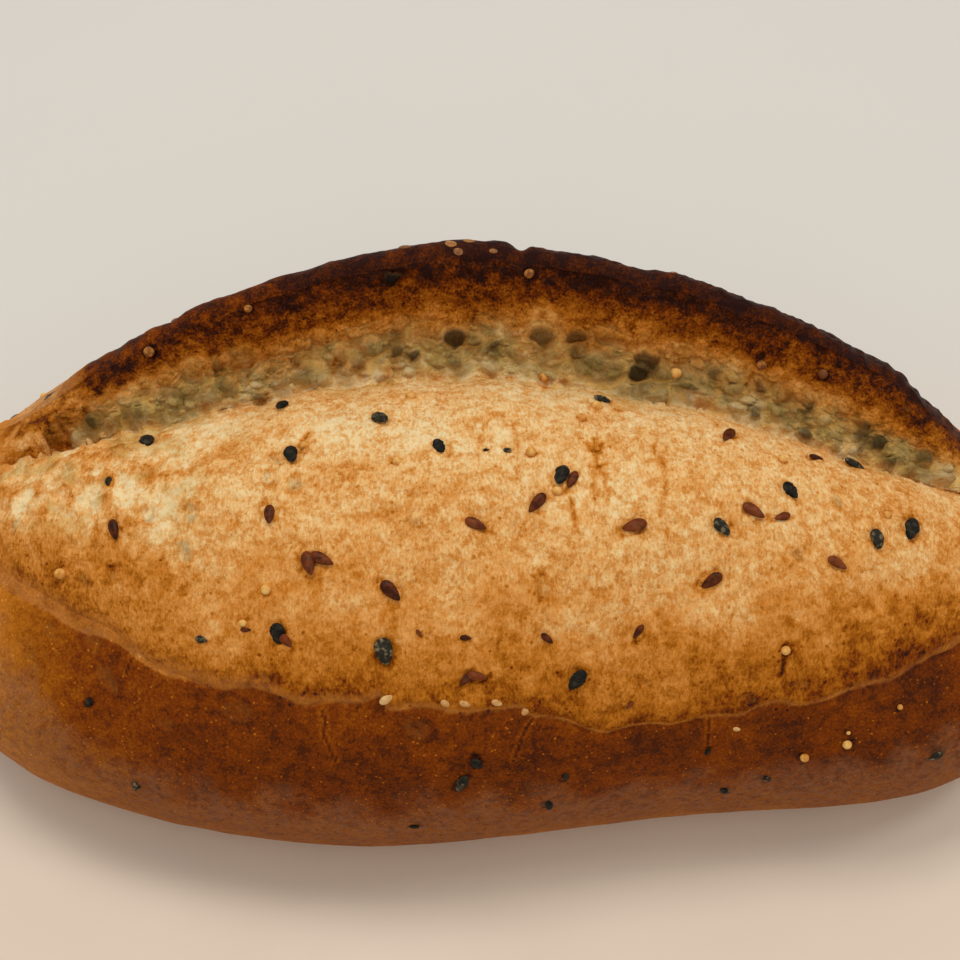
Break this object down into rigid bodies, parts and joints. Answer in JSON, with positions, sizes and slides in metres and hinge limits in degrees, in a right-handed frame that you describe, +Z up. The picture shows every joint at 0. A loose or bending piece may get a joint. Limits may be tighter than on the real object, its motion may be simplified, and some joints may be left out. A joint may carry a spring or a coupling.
{
  "type": "multigrain bread loaf",
  "caption": "Oval crusty loaf with one long opened cut: a pale swollen bloom, a raised dark ear behind it and mixed seeds baked into the crust.",
  "frame": {"origin": "on the surface that the loaf rests on, under the middle of its bounding box", "axes": "+X along the loaf's length, +Y from the bloom's side to the ear's side, +Z up"},
  "size_m": [0.24, 0.1214, 0.0837],
  "materials": {
    "crust": null
  },
  "bodies": {
    "root": {"loaf": "crust"}
  },
  "joints": []
}
